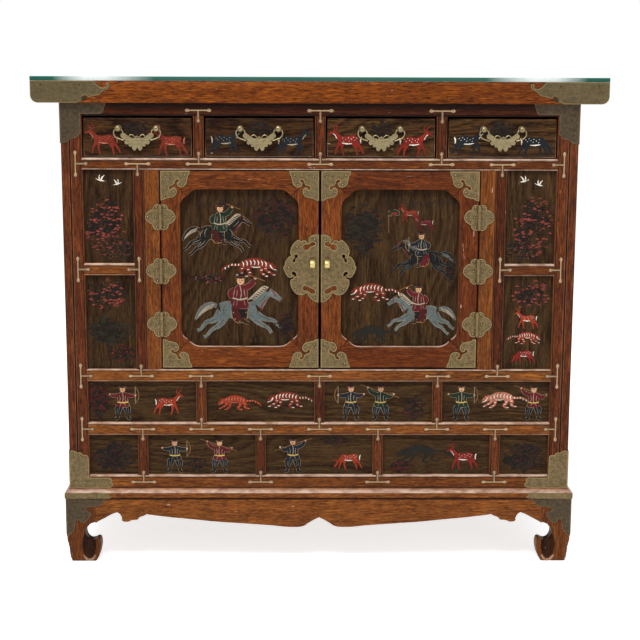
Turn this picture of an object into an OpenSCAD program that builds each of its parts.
// Korean scholar's cabinet: four drawers over a pair of painted doors, fixed panels around
// and below them, brass corners, straps, hinges and a lock plate, on four curled feet.
// Millimetres, +Z up, front towards -Y, origin on the floor under the middle of the top.

/* [Top] */
// Length of the glass and of the top board with its brass
top_length = 1084; // [1000:1:1150]
// Depth of the glass and of the top board with its brass
top_depth = 424; // [380:1:460]
// Thickness of the top board
top_thickness = 41; // [30:1:50]
// Thickness of the loose glass sheet
glass_thickness = 8; // [5:1:12]
// Rounding of the lower corners at the ends of the top board
top_end_radius = 14; // [5:1:20]

/* [Case] */
// Width of the case over its posts
case_width = 980; // [900:1:1040]
// Depth of the case from the front plane to the back plane
case_depth = 400; // [350:1:420]
// Distance from the front edge of the top to the front plane of the case
top_overhang = 14; // [5:1:30]
// Side of the square corner posts
post = 40; // [30:1:50]
// Thickness of the front rails
rail_depth = 30; // [24:1:36]
// Thickness of the end rails
end_rail_depth = 28; // [20:1:32]
// Thickness of the back rails
back_rail_depth = 26; // [18:1:32]
// Width of the stiles between panels and between drawers
stile = 20; // [14:1:26]
// Width of the boards that carry the door hinges
jamb = 30; // [24:1:36]
// Thickness of the fixed panels
panel = 7; // [5:1:10]
// Distance the panels lie behind the frame's face
recess = 7; // [4:1:10]
// Length of a panel's edge inside its groove
tongue = 5; // [3:1:6]
// Free play of a panel in its groove
play = 0.2; // [0.1:0.1:0.5]
// Length of the rail tenons
tenon = 18; // [12:1:20]
// Length of the stile tenons
stile_tenon = 8; // [5:1:9]
// Width of the stile tenons
stile_tenon_width = 10; // [6:1:12]
// Width of the cleats under the shelf
cleat = 18; // [14:1:24]

/* [Heights from the floor up] */
// Legs and aprons
leg_height = 129; // [110:1:150]
// Base moulding
moulding_height = 20; // [15:1:26]
// Bottom rail
bottom_rail = 26; // [20:1:30]
// Openings of the lower panels
lower_row = 81; // [60:1:100]
// Middle rail
middle_rail = 25; // [20:1:30]
// Openings of the middle panels
middle_row = 82; // [60:1:100]
// Sill rail under the doors
sill_rail = 24; // [20:1:30]
// Door opening
door_row = 386; // [340:1:420]
// Drawer rail
drawer_rail = 22; // [18:1:28]
// Drawer openings
drawer_row = 79; // [60:1:90]
// Top rail
top_rail = 24; // [18:1:30]
// Openings of the lower side panels, beside the doors
side_low = 184; // [150:1:220]
// Short rail between the side panels
side_rail = 23; // [18:1:28]

/* [Base] */
// Distance the base moulding stands out of the case
moulding_out = 9; // [5:1:14]
// Width of the base moulding's boards
moulding_width = 46; // [40:1:60]
// Thickness of the aprons
apron = 22; // [16:1:28]
// Distance the legs lie behind the moulding's face
leg_back = 1.5; // [0:0.5:4]
// Width of a leg at its knee, under the moulding
knee = 58; // [50:1:66]
// Depth of a leg at its knee
knee_depth = 76; // [64:1:84]

/* [Doors] */
// Half of the door opening
door_half = 305; // [280:1:320]
// Gap between the two doors
door_seam = 3.5; // [2:0.5:6]
// Gap between a door and its jamb
hinge_gap = 2; // [1:0.5:4]
// Gap over and under the doors
door_gap = 2.5; // [1:0.5:5]
// Thickness of the doors
door_thickness = 20; // [16:1:26]
// Width of the stile on the hinge side
hinge_stile = 36; // [28:1:44]
// Width of the stile on the lock side
lock_stile = 39; // [30:1:46]
// Height of the door's top rail
door_top_rail = 35; // [28:1:46]
// Height of the door's bottom rail
door_bottom_rail = 42; // [30:1:50]
// Distance the door panels lie behind the door's face
door_recess = 10; // [6:1:12]
// Radius of the larger hollow in a window corner
window_curve = 26; // [20:1:32]

/* [Hinges] */
// Height of a hinge plate
hinge_height = 50; // [40:1:60]
// Width of one hinge leaf
hinge_leaf = 28; // [22:1:34]
// Gap between the outer hinges and the door's corner plates
hinge_clear = 6; // [3:0.5:20]
// Radius of the hinge barrel
barrel = 3.75; // [3:0.25:5]
// Radius of the hinge pin
pin = 1.6; // [1:0.1:2]
// Distance of the hinge axis from the face of the case
axis_out = 4; // [3.8:0.1:5]

/* [Drawers] */
// Gap beside and under a drawer front
drawer_gap = 2; // [1:0.5:4]
// Distance the drawer fronts lie behind the frame's face
drawer_recess = 3; // [0:0.5:6]
// Thickness of the drawer fronts
drawer_front = 18; // [14:1:22]
// Thickness of the drawer sides and backs
drawer_side = 8; // [6:1:12]
// Thickness of the drawer bottoms
drawer_bottom = 5; // [4:1:8]
// Length of the drawer boxes behind their fronts
drawer_length = 325; // [250:1:330]
// Distance between the two posts of a pull
pull_span = 72; // [60:1:90]
// Height of the pull's axis over the middle of the drawer front
pull_up = 16.5; // [8:0.5:20]
// Distance of the pull's axis from the drawer front
pull_out = 8; // [7:0.5:9]
// Radius of the round heads of the pull's posts
post_head = 6.5; // [5:0.5:7]

/* [Brass] */
// Thickness of the brass plates
plate = 1.2; // [0.8:0.1:2]
// Width of a strap
strap = 3; // [2:0.5:4]
// Length of a strap's bar between its round ends
strap_bar = 42; // [34:1:50]
// Length of a strap's stem to its round end
strap_stem = 20; // [15:1:26]
// Radius of a strap's round ends
strap_end = 3; // [2:0.5:4]
// Length of a cap on the face of the top board
cap_length = 148; // [120:1:170]
// Length of a cap and of a moulding strip along the end
brass_return = 70; // [50:1:90]
// Width of a case corner plate's upright leg
corner_plate = 38; // [32:1:44]
// Length of a moulding strip along the front
strip_length = 88; // [70:1:100]
// Length of a door corner plate's sides
door_corner = 56; // [48:1:64]
// Radius of the lock plate between its lobes
lock_radius = 50; // [44:1:56]

/* [Hidden] */
$fn = 48;

top_half = top_length / 2;
top_side = top_depth / 2;
case_half = case_width / 2;
front = -top_side + top_overhang;
back = front + case_depth;
inner = case_half - post;
z_base = leg_height;
z_case = z_base + moulding_height;
z_row4 = z_case + bottom_rail;
z_mid = z_row4 + lower_row;
z_row3 = z_mid + middle_rail;
z_sill = z_row3 + middle_row;
z_doors = z_sill + sill_rail;
z_drawer_rail = z_doors + door_row;
z_drawers = z_drawer_rail + drawer_rail;
z_top_rail = z_drawers + drawer_row;
z_top = z_top_rail + top_rail;
z_glass = z_top + top_thickness;
z_side_rail = z_doors + side_low;
side_stile_in = door_half + jamb;
side_stile_out = side_stile_in + stile;
bay = (2 * inner + stile) / 4;
base_half = case_half + moulding_out;
base_front = front - moulding_out;
base_back = -base_front;
leg_half = base_half - leg_back;
leg_front = base_front + leg_back;
leg_v = leg_height / 129;
door_out = door_half - hinge_gap;
door_in = door_seam / 2;
z_door = z_doors + door_gap + 0.5;
z_door_top = z_drawer_rail - door_gap + 0.5;
window_out = door_out - hinge_stile;
window_in = door_in + lock_stile;
z_window = z_door + door_bottom_rail;
z_window_top = z_door_top - door_top_rail;
hinge_x = door_half - 1;
hinge_mid = (z_door + z_door_top) / 2 - 1;
hinge_pitch = (z_door_top - z_door) / 2 - door_corner - hinge_height / 2 - hinge_clear;
hinge_z = [hinge_mid - hinge_pitch, hinge_mid, hinge_mid + hinge_pitch];
lock_z = hinge_mid + 5;
drawer_x = [-1.5 * bay, -0.5 * bay, 0.5 * bay, 1.5 * bay];
drawer_width = bay - stile - 2 * drawer_gap;
front_z0 = z_drawers + drawer_gap;
front_z1 = z_top_rail - drawer_gap - 1;
drawer_y = front + drawer_recess;
pull_y = drawer_y - pull_out;
pull_z = (front_z0 + front_z1) / 2 + pull_up;
rail_z = [[z_case, z_row4], [z_mid, z_row3], [z_sill, z_doors], [z_drawer_rail, z_drawers],
  [z_top_rail, z_top]];
post_x = [[-case_half, -inner], [inner, case_half]];
tenon_y = front + 10;
wood = [0.42, 0.22, 0.12];
dark_wood = [0.28, 0.22, 0.14];
door_wood = [0.55, 0.3, 0.14];
inside_wood = [0.66, 0.5, 0.33];
brass = [0.5, 0.45, 0.32];
bright_brass = [0.78, 0.72, 0.52];

// A box between two corners
module box(x0, x1, y0, y1, z0, z1) {
  translate([x0, y0, z0]) cube([x1 - x0, y1 - y0, z1 - z0]);
}

// The shape and its mirror image on the other side of the middle
module both_sides() {
  children();
  mirror([1, 0, 0]) children();
}

// A flat plate drawn as x and z, with its back on the plane y and its thickness towards -Y
module front_plate(y, thick) {
  translate([0, y, 0]) rotate([90, 0, 0]) linear_extrude(thick) children();
}

// A flat plate drawn as y and z, with its back on the plane x and its thickness towards +X
module end_plate(x, thick) {
  translate([x, 0, 0]) rotate([90, 0, 90]) linear_extrude(thick) children();
}

// Panels, each grown by the play for its groove when grow is set

module front_panel(x0, x1, z0, z1, grow) {
  g = tongue + grow;
  y0 = front + recess - (grow > 0 ? play : 0);
  y1 = front + recess + panel + (grow > 0 ? play : 0);
  box(x0 - g, x1 + g, y0, y1, z0 - g, z1 + g);
}

module side_panel_set(grow) {
  for (s = [-1, 1]) {
    x0 = s > 0 ? side_stile_out : -inner;
    x1 = s > 0 ? inner : -side_stile_out;
    front_panel(x0, x1, z_doors, z_side_rail, grow);
    front_panel(x0, x1, z_side_rail + side_rail, z_drawer_rail, grow);
  }
}

module middle_panel_set(grow) {
  for (x = drawer_x) {
    front_panel(x - bay / 2 + stile / 2, x + bay / 2 - stile / 2, z_row3, z_sill, grow);
  }
}

module lower_panel_set(grow) {
  h = stile / 2;
  front_panel(-inner, drawer_x[0] - h, z_row4, z_mid, grow);
  for (n = [0:2]) front_panel(drawer_x[n] + h, drawer_x[n + 1] - h, z_row4, z_mid, grow);
  front_panel(drawer_x[3] + h, inner, z_row4, z_mid, grow);
}

module end_panel(z0, z1, grow) {
  g = tongue + grow;
  x0 = case_half - recess - panel - (grow > 0 ? play : 0);
  x1 = case_half - recess + (grow > 0 ? play : 0);
  box(x0, x1, front + post - g, back - post + g, z0 - g, z1 + g);
}

module end_panel_set(grow) {
  both_sides() {
    end_panel(z_row4, z_mid, grow);
    end_panel(z_row3, z_sill, grow);
    end_panel(z_doors, z_side_rail, grow);
    end_panel(z_side_rail + side_rail, z_drawer_rail, grow);
    end_panel(z_drawers, z_top_rail, grow);
  }
}

module back_panel(z0, z1, grow) {
  g = tongue + grow;
  y0 = back - recess - panel - (grow > 0 ? play : 0);
  y1 = back - recess + (grow > 0 ? play : 0);
  box(-inner - g, inner + g, y0, y1, z0 - g, z1 + g);
}

module back_panel_set(grow) {
  back_panel(z_row4, z_sill, grow);
  back_panel(z_doors, z_drawer_rail, grow);
  back_panel(z_drawers, z_top_rail, grow);
}

// Rails with their tenons, which are a little larger when they are cut as mortises

module front_rail(z0, z1, fit) {
  box(-inner, inner, front, front + rail_depth, z0, z1);
  box(-inner - tenon - fit, inner + tenon + fit, tenon_y - fit, tenon_y + 12 + fit,
    z0 + 4 - fit, z1 - 4 + fit);
}

module front_rail_set(fit) {
  for (z = rail_z) front_rail(z[0], z[1], fit);
}

module side_rail_set(fit) {
  both_sides() {
    box(side_stile_out, inner, front, front + stile + 4, z_side_rail, z_side_rail + side_rail);
    box(side_stile_out - 8 - fit, inner + 12 + fit, tenon_y - fit, tenon_y + 10 + fit,
      z_side_rail + 4 - fit, z_side_rail + side_rail - 4 + fit);
  }
}

module end_rail(z0, z1, fit) {
  box(case_half - end_rail_depth, case_half, front + post, back - post, z0, z1);
  box(case_half - 18 - fit, case_half - 8 + fit, front + post - tenon - fit,
    back - post + tenon + fit, z0 + 4 - fit, z1 - 4 + fit);
}

module end_rail_set(fit) {
  both_sides() {
    for (z = rail_z) end_rail(z[0], z[1], fit);
    end_rail(z_side_rail, z_side_rail + side_rail, fit);
  }
}

module back_rail(z0, z1, fit) {
  box(-inner, inner, back - back_rail_depth, back, z0, z1);
  box(-inner - tenon - fit, inner + tenon + fit, back - 20 - fit, back - 10 + fit,
    z0 + 4 - fit, z1 - 4 + fit);
}

module back_rail_set(fit) {
  back_rail(z_case, z_row4, fit);
  back_rail(z_sill, z_doors, fit);
  back_rail(z_drawer_rail, z_drawers, fit);
  back_rail(z_top_rail, z_top, fit);
}

// A stile of the front with a tenon at each end
module front_stile(x0, x1, depth, z0, z1, fit) {
  m = (x0 + x1) / 2;
  box(x0, x1, front, front + depth, z0, z1);
  w = stile_tenon_width / 2;
  h = stile_tenon;
  box(m - w - fit, m + w + fit, tenon_y - fit, tenon_y + 10 + fit, z0 - h - fit, z1 + h + fit);
}

module drawer_stile_set(fit) {
  for (x = [-bay, 0, bay]) {
    front_stile(x - stile / 2, x + stile / 2, 24, z_drawers, z_top_rail, fit);
  }
}

module side_stile_set(fit) {
  both_sides() front_stile(side_stile_in, side_stile_out, 24, z_doors, z_drawer_rail, fit);
}

module jamb_set(fit) {
  both_sides() front_stile(door_half, side_stile_in, rail_depth, z_doors, z_drawer_rail, fit);
}

module panel_stile_set(fit) {
  for (x = [-bay, 0, bay]) {
    front_stile(x - stile / 2, x + stile / 2, 24, z_row3, z_sill, fit);
  }
  for (x = drawer_x) {
    front_stile(x - stile / 2, x + stile / 2, 24, z_row4, z_mid, fit);
  }
}

// Boards inside the case, let into the rails

module notched_board(x1, y0, y1, z0, z1) {
  difference() {
    box(-x1, x1, y0, y1, z0, z1);
    both_sides() {
      box(inner - 0.3, case_half, y0 - 1, front + post + 0.3, z0 - 1, z1 + 1);
      box(inner - 0.3, case_half, back - post - 0.3, y1 + 1, z0 - 1, z1 + 1);
    }
  }
}

module deck_board() {
  notched_board(case_half - end_rail_depth + 8, front + rail_depth - 8,
    back - back_rail_depth + 8, z_drawers - 12, z_drawers);
}

module floor_board() {
  notched_board(case_half - end_rail_depth + 8, front + rail_depth - 8,
    back - back_rail_depth + 8, z_case + 8, z_case + 20);
}

// Sub-parts of the case

module glass_top() {
  color([0.55, 0.8, 0.72, 0.4]) {
    box(-top_half, top_half, -top_side, top_side, z_glass, z_glass + glass_thickness);
  }
}

// The end view of the top board: square on top, rounded underneath
module top_outline(half) {
  r = top_end_radius;
  translate([-half, z_top + r]) square([2 * half, top_thickness - r]);
  translate([-half + r, z_top]) square([2 * half - 2 * r, r + 1]);
  for (s = [-1, 1]) {
    translate([s * (half - r), z_top + r]) circle(r);
  }
}

module top_board() {
  color(wood) difference() {
    front_plate(top_side - 1, top_depth - 2) top_outline(top_half - 1);
    both_sides() for (y = [front, back - post]) {
      box(inner + 9.9, case_half - 9.9, y + 9.9, y + post - 9.9, z_top - 1, z_top + 16);
    }
  }
}

// The face of a corner cap, with x from the end of the top and z down from its upper edge
module cap_outline() {
  u = cap_length / 148;
  v = top_thickness / 41;
  difference() {
    union() {
      polygon([for (p = [[0, 0], [120, 0], [126, 8], [134, 13], [140, 12], [144, 9], [148, 10],
        [145, 15], [138, 18], [131, 25], [122, 28], [110, 31], [106, 35], [96, 36],
        [88, 38], [86, 41], [0, 41]]) [p[0] * u, p[1] * v]]);
      translate([144.5 * u, 8 * v]) circle(4 * v);
    }
    translate([102 * u, 32 * v]) circle(4 * v);
    translate([142 * u, 6.5 * v]) circle(2 * v);
  }
}

module cap_face() {
  intersection() {
    translate([-top_half, z_glass]) mirror([0, 1]) cap_outline();
    top_outline(top_half);
  }
}

// A cap lies on the face and is bent around the end
module top_corner_cap() {
  front_plate(-top_side + 1, 1) cap_face();
  front_plate(-top_side + brass_return, brass_return - 1) {
    intersection() {
      top_outline(top_half);
      translate([-top_half, z_top + top_end_radius]) square([1, top_thickness]);
    }
  }
}

module top_corner_brass() {
  color(brass) both_sides() {
    top_corner_cap();
    mirror([0, 1, 0]) top_corner_cap();
  }
}

// A tenon on top of a post goes into the top board, and one below it into the moulding
module post_body(x0, y0) {
  box(x0, x0 + post, y0, y0 + post, z_case, z_top);
  box(x0 + 10, x0 + post - 10, y0 + 10, y0 + post - 10, z_top, z_top + 15);
  box(x0 + 10, x0 + post - 10, y0 + 10, y0 + post - 10, z_case - 12, z_case);
}

module front_posts() {
  color(wood) difference() {
    for (x = post_x) post_body(x[0], front);
    front_rail_set(0.1);
    side_rail_set(0.1);
    end_rail_set(0.1);
    side_panel_set(1);
    middle_panel_set(1);
    lower_panel_set(1);
    end_panel_set(1);
    both_sides() box(inner + 22, inner + 25, front - 1, front + 1, z_case - 1, z_top + 1);
  }
}

module rear_posts() {
  color(wood) difference() {
    for (x = post_x) post_body(x[0], back - post);
    back_rail_set(0.1);
    end_rail_set(0.1);
    end_panel_set(1);
    back_panel_set(1);
  }
}

module front_rails() {
  color(wood) difference() {
    front_rail_set(0);
    drawer_stile_set(0.1);
    side_stile_set(0.1);
    jamb_set(0.1);
    panel_stile_set(0.1);
    side_panel_set(1);
    middle_panel_set(1);
    lower_panel_set(1);
    deck_board();
    floor_board();
  }
}

module side_rails() {
  color(wood) difference() {
    side_rail_set(0);
    side_panel_set(1);
  }
}

module drawer_stiles() {
  color(wood) drawer_stile_set(0);
}

module side_stiles() {
  color(wood) difference() {
    side_stile_set(0);
    side_rail_set(0.1);
    side_panel_set(1);
  }
}

module door_jambs() {
  color(wood) jamb_set(0);
}

module panel_stiles() {
  color(wood) difference() {
    panel_stile_set(0);
    middle_panel_set(1);
    lower_panel_set(1);
  }
}

module side_panels() {
  color(dark_wood) side_panel_set(0);
}

module middle_panels() {
  color(dark_wood) middle_panel_set(0);
}

module lower_panels() {
  color(dark_wood) lower_panel_set(0);
}

module end_rails() {
  color(wood) difference() {
    end_rail_set(0);
    end_panel_set(1);
    deck_board();
    floor_board();
  }
}

module end_panels() {
  color(dark_wood) end_panel_set(0);
}

module back_rails() {
  color(wood) difference() {
    back_rail_set(0);
    back_panel_set(1);
    deck_board();
    floor_board();
  }
}

module back_panels() {
  color(inside_wood) back_panel_set(0);
}

module bottom_board() {
  color(inside_wood) floor_board();
}

module drawer_deck() {
  color(inside_wood) deck_board();
}

// Guides on the deck hold the drawers straight, kickers above keep them from tipping
module drawer_guides() {
  y1 = back - back_rail_depth;
  color(inside_wood) {
    for (x = [-bay, 0, bay]) {
      box(x - 10, x + 10, front + 24, y1, z_drawers, z_drawers + 14);
      box(x - 10, x + 10, front + rail_depth, y1, z_top_rail, z_top);
    }
    both_sides() {
      box(inner, inner + 12, front + post, back - post, z_drawers, z_drawers + 14);
      box(inner - 12, inner, front + rail_depth, y1, z_top_rail, z_top);
    }
  }
}

module shelf() {
  color(inside_wood) {
    box(-inner + 0.5, inner - 0.5, front + post + 18, back - back_rail_depth,
      z_side_rail - 11, z_side_rail + 1);
  }
}

module shelf_cleats() {
  color(inside_wood) both_sides() {
    box(inner - cleat, inner, front + rail_depth + 2, back - back_rail_depth,
      z_side_rail - 13 - cleat, z_side_rail - 11);
  }
}

// Brass of the case

// A corner of the case's face, with x from the outer edge and z down from the top
module top_plate_outline() {
  scale(corner_plate / 38) {
    square([86, 18]);
    square([38, 54]);
    translate([0, 50]) square([13, 20]);
    translate([7.5, 67.5]) circle(6.5);
    translate([20, 58]) circle(8);
    translate([30.5, 52]) circle(7);
  }
}

module bottom_plate_outline() {
  scale(corner_plate / 38) {
    square([78, 22]);
    square([38, 60]);
    translate([77, 9]) circle(8.4);
    translate([0, 58]) square([12, 13]);
    translate([7.6, 69.5]) circle(7);
    translate([18.6, 63.6]) circle(7.3);
    translate([29.4, 59]) circle(8);
  }
}

// The same outline on the face and around the edge on the end
module bent_corner(z, up) {
  front_plate(front, plate) translate([-case_half, z]) mirror([0, up ? 0 : 1]) children();
  end_plate(-case_half - plate, plate) {
    translate([front - plate, z]) mirror([0, up ? 0 : 1]) children();
  }
  h = corner_plate * 1.45;
  box(-case_half - plate, -case_half, front - plate, front, up ? z : z - h, up ? z + h : z);
}

// A strip around the corner of the base moulding
module moulding_strip() {
  z1 = z_case - 8;
  box(-base_half - 1, -base_half + strip_length, base_front - 1, base_front, z_base + 0.5, z1);
  box(-base_half - 1, -base_half, base_front - 1, base_front + brass_return, z_base + 0.5, z1);
}

module corner_brass() {
  color(brass) both_sides() {
    bent_corner(z_top, false) top_plate_outline();
    bent_corner(z_case, true) bottom_plate_outline();
    moulding_strip();
  }
}

// A strap with its bar along x and its stem down, on the front plane
module strap_at(x, z, turn) {
  translate([x, front, z]) rotate([90, turn, 0]) linear_extrude(plate) {
    translate([-strap_bar / 2, -strap / 2]) square([strap_bar, strap]);
    translate([-strap / 2, -strap_stem]) square([strap, strap_stem]);
    for (s = [-1, 1]) {
      translate([s * strap_bar / 2, 0]) circle(strap_end);
    }
    translate([0, -strap_stem]) circle(strap_end);
  }
}

module t_straps() {
  z_a = z_top_rail + 10.5;
  z_b = z_drawer_rail + 11;
  z_c = z_side_rail + side_rail / 2;
  z_d = z_sill + 11;
  z_e = z_mid + 12;
  z_f = z_case + 12;
  xs = side_stile_in + 11;
  color(bright_brass) {
    for (x = [-bay, 0, bay]) {
      strap_at(x, z_a, 0);
      strap_at(x, z_b, 180);
      strap_at(x, z_d, 0);
      strap_at(x, z_e, 180);
    }
    for (x = drawer_x) {
      strap_at(x, z_e, 0);
      strap_at(x, z_f, 180);
    }
    for (s = [-1, 1]) {
      strap_at(s * xs, z_b, 0);
      strap_at(s * xs, z_d, 180);
      strap_at(s * xs, z_c, -s * 90);
      for (z = [z_b, z_c, z_d, z_e]) strap_at(s * (inner + 13), z, s * 90);
    }
  }
}

// Base

// The section of the moulding: a bevel over an upright edge, with x outwards
module moulding_section() {
  polygon([[0, 0], [moulding_width, 0], [moulding_width, 12],
    [moulding_width - moulding_out, moulding_height], [0, moulding_height]]);
}

// One board of the moulding, half its length each way, mitred at both ends with a fine joint
module moulding_board(half, out) {
  difference() {
    translate([-half, out - moulding_width, z_base]) rotate([90, 0, 90]) {
      linear_extrude(2 * half) moulding_section();
    }
    for (s = [-1, 1]) {
      translate([s * (half - 0.1), out, z_base - 1]) rotate([0, 0, s > 0 ? -45 : -135]) {
        translate([0, -100, 0]) cube([100, 200, moulding_height + 2]);
      }
    }
  }
}

module base_moulding() {
  color(wood) difference() {
    union() {
      rotate([0, 0, 180]) moulding_board(base_half, -base_front);
      moulding_board(base_half, base_back);
      rotate([0, 0, 90]) moulding_board(base_back, base_half);
      rotate([0, 0, -90]) moulding_board(base_back, base_half);
    }
    both_sides() for (y = [front, back - post]) {
      box(inner + 9.9, case_half - 9.9, y + 9.9, y + post - 9.9, z_case - 13, z_case + 1);
    }
    leg_tenons(0.1);
  }
}

module leg_tenons(fit) {
  both_sides() for (s = [-1, 1]) mirror([0, s > 0 ? 1 : 0, 0]) {
    box(-leg_half + 14 - fit, -leg_half + 32 + fit, leg_front + 20 - fit, leg_front + 38 + fit,
      z_base - 1, z_base + 6 + fit);
  }
}

// The leg's outline: x from its outer edge, widening to the knee over a curled foot
module leg_outline(wide, neck, foot) {
  polygon([[0, leg_height], [0, 45 * leg_v], [3 * leg_v, 30 * leg_v], [4.5 * leg_v, 12 * leg_v],
    [5.5 * leg_v, 5 * leg_v], [9 * leg_v, 0], [foot - 4, 0], [foot, 6 * leg_v],
    [foot, 19 * leg_v], [foot - 8, 19 * leg_v], [neck + 5, 19 * leg_v], [neck, 32 * leg_v],
    [neck, 44 * leg_v], [neck + 3, 53 * leg_v], [neck + 9, 63 * leg_v], [neck + 17, 71 * leg_v],
    [wide - 12, 77 * leg_v], [wide, 81 * leg_v], [wide, leg_height]]);
}

// The left front leg: two outlines crossed, then hollowed over the toe from both sides
module front_left_leg() {
  w = knee - 33.5;
  d = knee_depth - 36;
  r = 25 * leg_v;
  difference() {
    intersection() {
      front_plate(leg_front + knee_depth + 2, knee_depth + 2) {
        translate([-leg_half, 0]) leg_outline(knee, w, knee - 4);
      }
      end_plate(-leg_half, knee + 2) {
        translate([leg_front, 0]) leg_outline(knee_depth, d, knee_depth - 6);
      }
    }
    translate([-leg_half + w + r, leg_front - 2, 30 * leg_v]) rotate([-80, 0, 0]) {
      cylinder(r = r, h = knee_depth + 14);
    }
    translate([-leg_half - 2, leg_front + d + r + 2, 30 * leg_v]) rotate([0, 77, 0]) {
      cylinder(r = r, h = knee_depth + 14);
    }
  }
  box(-leg_half + 14, -leg_half + 32, leg_front + 20, leg_front + 38, z_base, z_base + 6);
}

module legs() {
  color(wood) both_sides() {
    front_left_leg();
    mirror([0, 1, 0]) front_left_leg();
  }
}

// The shaped lower edge of half of the front apron, from its middle to the leg
module apron_outline() {
  u = (leg_half - knee) / 439.5;
  polygon([for (p = [[0, 129], [439.5, 129], [439.5, 81], [430, 86], [418, 91], [409, 97],
    [400, 100], [394, 97], [390, 90], [383, 83], [376, 81], [366, 83], [357, 86], [348, 92],
    [340, 95.5], [300, 91], [250, 86], [200, 81], [150, 77.5], [100, 74], [45, 70], [30, 72],
    [20, 79], [8, 86], [0, 90]]) [p[0] * u, p[1] * leg_v]]);
}

// The same for half of an end apron
module end_apron_outline() {
  u = (-leg_front - knee_depth) / 129.5;
  polygon([for (p = [[0, 129], [129.5, 129], [129.5, 81], [122, 86], [113, 90], [105, 97],
    [97, 98], [93, 90], [86, 83], [78, 81], [66, 84], [56, 92], [45, 91], [30, 84], [22, 76],
    [12, 79], [0, 88]]) [p[0] * u, p[1] * leg_v]]);
}

module aprons() {
  color(wood) {
    for (s = [0, 1]) mirror([0, s, 0]) {
      front_plate(leg_front + apron, apron) both_halves() apron_outline();
    }
    for (s = [0, 1]) mirror([s, 0, 0]) {
      end_plate(-leg_half, apron) both_halves() end_apron_outline();
    }
  }
}

// The same as both_sides, for flat outlines
module both_halves() {
  children();
  mirror([1, 0]) children();
}

// A corner plate of the leg, with x from the outer edge and z down from the top of the leg
module leg_plate_outline() {
  difference() {
    polygon([for (p = [[0, 0], [80, 0], [72, 8], [66, 13], [60, 17], [38, 18], [38, 24],
      [47, 29], [44, 38], [39, 45], [32, 51], [26, 48], [18, 48], [17, 62], [14, 70],
      [4, 77], [0, 75]]) p * leg_v]);
    translate([21, 45] * leg_v) circle(3.5 * leg_v);
  }
}

module leg_corner() {
  front_plate(leg_front, plate) translate([-leg_half, z_base]) mirror([0, 1]) leg_plate_outline();
  end_plate(-leg_half - plate, plate) {
    translate([leg_front - plate, z_base]) mirror([0, 1]) leg_plate_outline();
  }
  box(-leg_half - plate, -leg_half, leg_front - plate, leg_front, z_base - 75 * leg_v, z_base);
}

module leg_brass() {
  color(brass) both_sides() leg_corner();
}

// Hinges

// Half of a hinge plate, with x from the barrel and z from the middle
module leaf_outline() {
  h = hinge_height / 2;
  difference() {
    union() {
      translate([0, -h + 7]) square([10, 2 * h - 14]);
      for (s = [-1, 1]) {
        translate([9, s * (h - 9)]) circle(9);
        translate([hinge_leaf - 9.5, s * 8.5]) circle(9.5);
      }
      translate([0, -9]) square([20, 18]);
    }
    translate([hinge_leaf - 5, -3]) square([8, 6]);
  }
}

// A leaf to the right of the axis, cut clear of the other leaf's part of the barrel
module hinge_half(middle) {
  k = 8;
  difference() {
    union() {
      front_plate(0, 1.5) leaf_outline();
      for (z = middle ? [-k] : [-23, k + 0.4]) {
        translate([0, -axis_out, z]) cylinder(r = barrel, h = middle ? 2 * k : 23 - k - 0.4);
        box(0, 6, -1.5, 0, z, z + (middle ? 2 * k : 23 - k - 0.4));
      }
    }
    for (z = middle ? [-30, k] : [-k - 0.4]) {
      box(-1, 4.4, -1.6, 1, z, z + (middle ? 30 - k : 2 * k + 0.8));
    }
    translate([0, -axis_out, -30]) cylinder(r = pin + 0.1, h = 60);
  }
}

module case_hinge_leaves() {
  color(brass) both_sides() for (z = hinge_z) {
    translate([hinge_x, front, z]) hinge_half(false);
  }
}

module hinge_pins() {
  color(bright_brass) both_sides() for (z = hinge_z) {
    translate([hinge_x, front - axis_out, z - 23.2]) cylinder(r = pin, h = 46.4);
    translate([hinge_x, front - axis_out, z + 23.2]) cylinder(r = 2.6, h = 1.6);
    translate([hinge_x, front - axis_out, z - 24.8]) cylinder(r = 2.6, h = 1.6);
  }
}

// Doors, drawn as the right one

module door_panel_body(grow) {
  g = 6 + grow;
  e = grow > 0 ? play : 0;
  box(window_in - g, window_out + g, front + door_recess - e, front + door_recess + 6 + e,
    z_window - g, z_window_top + g);
}

// The curved filling of a window corner: two hollows that meet in a point
module window_corner() {
  scale(window_curve / 26) difference() {
    square([37, 33]);
    translate([37, 26]) circle(26);
    translate([21, 33]) circle(21);
  }
}

module door_stiles() {
  y1 = front + door_thickness;
  difference() {
    union() {
      box(window_out, door_out, front, y1, z_door, z_door_top);
      box(door_in, window_in, front, y1, z_door, z_door_top);
    }
    door_rail_pair(0.1);
    door_panel_body(1);
  }
}

// The rails, with the window's corner fillings glued to them
module door_rails() {
  difference() {
    door_rail_pair(0);
    door_panel_body(1);
  }
  for (x = [0, 1], z = [0, 1]) {
    translate([x ? window_out : window_in, front + door_recess - play, z ? z_window_top : z_window]) {
      rotate([90, 0, 0]) linear_extrude(door_recess - play) {
        mirror([x, 0]) mirror([0, z]) window_corner();
      }
    }
  }
}

module door_rail_pair(fit) {
  y1 = front + door_thickness;
  for (z = [[z_door, z_window], [z_window_top, z_door_top]]) {
    box(window_in, window_out, front, y1, z[0], z[1]);
    box(window_in - 24 - fit, window_out + 24 + fit, front + 7 - fit, front + 13 + fit,
      z[0] + 6 - fit, z[1] - 6 + fit);
  }
}

// A corner plate of the door, with x and z from the corner
module door_corner_outline() {
  scale(door_corner / 56) difference() {
    union() {
      square([56, 6]);
      square([6, 56]);
      square([30, 22]);
      square([22, 30]);
      translate([48, 8]) circle(7.5);
      translate([8, 48]) circle(7.5);
      translate([38, 19]) circle(11.5);
      translate([19, 38]) circle(11.5);
      square([44, 14]);
      square([14, 44]);
    }
    translate([31, 19]) circle(3.2);
    translate([19, 31]) circle(3.2);
  }
}

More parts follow.
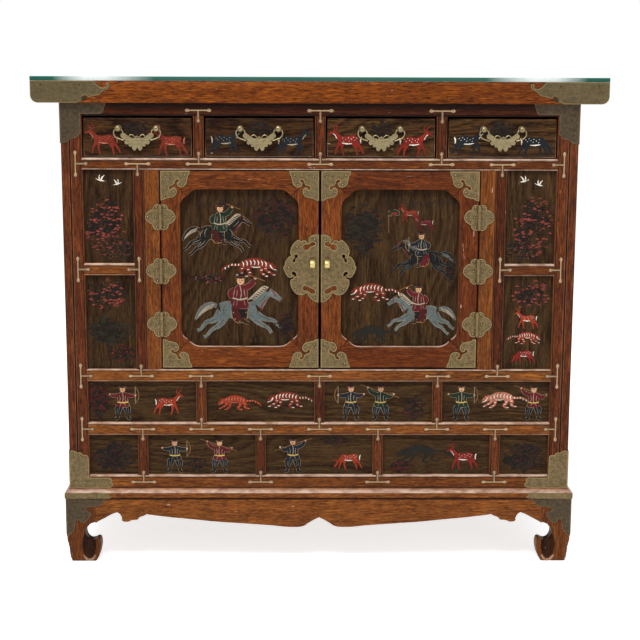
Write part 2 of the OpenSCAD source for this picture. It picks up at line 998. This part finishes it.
module door_corners() {
  for (x = [0, 1], z = [0, 1]) {
    front_plate(front, plate) {
      translate([x ? door_out : door_in, z ? z_door_top : z_door]) {
        mirror([x, 0]) mirror([0, z]) door_corner_outline();
      }
    }
  }
}

module door_leaves() {
  for (z = hinge_z) {
    translate([hinge_x, front, z]) mirror([1, 0, 0]) hinge_half(true);
  }
}

// The lock plate's half: a disc with cloud lobes, and hooked slots between the lobes
module lock_outline() {
  k = lock_radius / 50;
  difference() {
    intersection() {
      scale(k) {
        circle(50);
        for (s = [-1, 1]) {
          translate([0, s * 44]) circle(22);
          translate([34, s * 31]) circle(24);
        }
        translate([48, 0]) circle(22);
      }
      translate([door_in - 0.75, -80 * k]) square([100 * k, 160 * k]);
    }
    scale(k) for (s = [-1, 1]) mirror([0, s > 0 ? 0 : 1]) {
      translate([12, 47]) rotate(-27) square([18, 5]);
      translate([13, 49]) circle(2.6);
      translate([28, 42]) circle(3.2);
      translate([44, 26]) circle(3.4);
      translate([45, 23]) rotate(-52) square([12, 3]);
      translate([50, 15]) circle(3);
    }
  }
}

// A staple stands out of the plate and is pierced for the bar of a padlock
module staple() {
  difference() {
    union() {
      box(9, 19, -plate - 6, -plate, -8.5, 8.5);
      translate([9, -plate - 6, 0]) rotate([0, 90, 0]) cylinder(r = 6, h = 10);
      box(9, 19, -plate - 6, -plate, -6, 6);
    }
    translate([0, -plate - 5.5, 0]) rotate([0, 90, 0]) cylinder(r = 3.4, h = 30);
  }
}

module door_lock() {
  front_plate(front, plate) translate([0, lock_z]) lock_outline();
  translate([0, front, lock_z + 9]) staple();
}

module right_door_stiles() {
  color(door_wood) door_stiles();
}

module right_door_rails() {
  color(door_wood) door_rails();
}

module right_door_panel() {
  color(dark_wood) door_panel_body(0);
}

module right_door_corners() {
  color(brass) door_corners();
}

module right_door_leaves() {
  color(brass) door_leaves();
}

module right_lock() {
  color(brass) door_lock();
}

module left_door_stiles() {
  mirror([1, 0, 0]) right_door_stiles();
}

module left_door_rails() {
  mirror([1, 0, 0]) right_door_rails();
}

module left_door_panel() {
  mirror([1, 0, 0]) right_door_panel();
}

module left_door_corners() {
  mirror([1, 0, 0]) right_door_corners();
}

module left_door_leaves() {
  mirror([1, 0, 0]) right_door_leaves();
}

module left_lock() {
  mirror([1, 0, 0]) right_lock();
}

// Drawers, drawn about their own middle

module drawer_bottom_board(fit) {
  w = drawer_width / 2 - drawer_side + 3 + fit;
  box(-w, w, drawer_y + drawer_front - 6 - fit, drawer_y + drawer_front + drawer_length + fit,
    front_z0 + 3 - fit, front_z0 + 3 + drawer_bottom + fit);
}

module drawer_side_boards(fit) {
  w = drawer_width / 2;
  for (s = [0, 1]) mirror([s, 0, 0]) {
    box(w - drawer_side - fit, w - 1, drawer_y + drawer_front, drawer_y + drawer_front
      + drawer_length, z_drawers + 0.5, front_z1 - 4);
    box(w - drawer_side + 1 - fit, w - 3 + fit, drawer_y + drawer_front - 8 - fit,
      drawer_y + drawer_front, front_z0 + 8 - fit, front_z1 - 10 + fit);
  }
}

module drawer_front_board() {
  w = drawer_width / 2;
  difference() {
    box(-w, w, drawer_y, drawer_y + drawer_front, front_z0, front_z1);
    drawer_side_boards(0.1);
    drawer_bottom_board(0.1);
    for (s = [-1, 1]) {
      translate([s * pull_span / 2, drawer_y - 1, pull_z]) rotate([-90, 0, 0]) {
        cylinder(r = 2, h = drawer_front + 2);
      }
    }
  }
}

module drawer_box_boards() {
  w = drawer_width / 2 - drawer_side;
  y1 = drawer_y + drawer_front + drawer_length;
  difference() {
    drawer_side_boards(0);
    drawer_bottom_board(0.1);
  }
  difference() {
    box(-w + 0.1, w - 0.1, y1 - drawer_side, y1, front_z0 + 3, front_z1 - 8);
    drawer_bottom_board(0.1);
  }
  drawer_bottom_board(0);
}

// A pull's posts: a round head bored for the bail, a collar, and a shank through the front
module pull_posts() {
  for (s = [-1, 1]) {
    difference() {
      union() {
        translate([s * pull_span / 2, pull_y, pull_z]) rotate([0, 0, 45]) sphere(r = post_head);
        translate([s * pull_span / 2, drawer_y, pull_z]) rotate([90, 0, 0]) {
          cylinder(r = 3.5, h = pull_out);
          cylinder(r = 6.5, h = 1);
        }
        translate([s * pull_span / 2, drawer_y, pull_z]) rotate([-90, 0, 0]) {
          cylinder(r = 1.9, h = drawer_front + 2);
        }
      }
      translate([s * pull_span / 2 - 10, pull_y, pull_z]) rotate([0, 90, 0]) {
        cylinder(r = 1.9, h = 20);
      }
    }
  }
}

// Half of the bail: a bat with a spread wing, held by a loop of wire
module bail_outline() {
  difference() {
    union() {
      translate([0, -29]) circle(11);
      translate([5.5, -36.5]) circle(4.5);
      polygon([[0, -20], [8, -19], [16, -24], [25, -26], [22, -33], [14, -31], [10, -38],
        [0, -38]]);
      translate([12, -17]) circle(4);
      polygon([[20, -20], [30, -18.5], [40, -17], [44, -15.4], [46, -18], [40, -20.4],
        [30, -22.4], [22, -26], [14, -24]]);
      translate([44, -10]) circle(7.6);
      translate([43.5, -9]) square([3, 9]);
    }
    translate([12, -16.5]) circle(2);
    translate([43.2, -9.6]) circle(4.9);
    translate([30, -15]) square([14.5, 16]);
    translate([30, -6]) square([13.5, 8]);
  }
  translate([44.4, -12]) square([2.6, 12]);
}

module bail_body() {
  k = pull_span / 72;
  translate([0, pull_y, pull_z]) {
    front_plate(1.1, 2.2) scale(k) both_halves() bail_outline();
    both_sides() translate([33 * k, 0, 0]) rotate([0, 90, 0]) cylinder(r = 1.8, h = 14 * k);
  }
}

module drawer_node(n, part) {
  translate([drawer_x[n], 0, 0]) {
    if (part == 0) color(dark_wood) drawer_front_board();
    if (part == 1) color(inside_wood) drawer_box_boards();
    if (part == 2) color(bright_brass) pull_posts();
    if (part == 3) color(bright_brass) bail_body();
  }
}

glass_top();
top_board();
top_corner_brass();
front_posts();
rear_posts();
front_rails();
side_rails();
drawer_stiles();
side_stiles();
door_jambs();
panel_stiles();
side_panels();
middle_panels();
lower_panels();
end_rails();
end_panels();
back_rails();
back_panels();
bottom_board();
drawer_deck();
drawer_guides();
shelf();
shelf_cleats();
corner_brass();
t_straps();
base_moulding();
legs();
aprons();
leg_brass();
case_hinge_leaves();
hinge_pins();
left_door_stiles();
left_door_rails();
left_door_panel();
left_door_corners();
left_door_leaves();
left_lock();
right_door_stiles();
right_door_rails();
right_door_panel();
right_door_corners();
right_door_leaves();
right_lock();
drawer_node(0, 0);  // drawer_1_front
drawer_node(0, 1);  // drawer_1_box
drawer_node(0, 2);  // drawer_1_posts
drawer_node(0, 3);  // drawer_1_bail
drawer_node(1, 0);  // drawer_2_front
drawer_node(1, 1);  // drawer_2_box
drawer_node(1, 2);  // drawer_2_posts
drawer_node(1, 3);  // drawer_2_bail
drawer_node(2, 0);  // drawer_3_front
drawer_node(2, 1);  // drawer_3_box
drawer_node(2, 2);  // drawer_3_posts
drawer_node(2, 3);  // drawer_3_bail
drawer_node(3, 0);  // drawer_4_front
drawer_node(3, 1);  // drawer_4_box
drawer_node(3, 2);  // drawer_4_posts
drawer_node(3, 3);  // drawer_4_bail
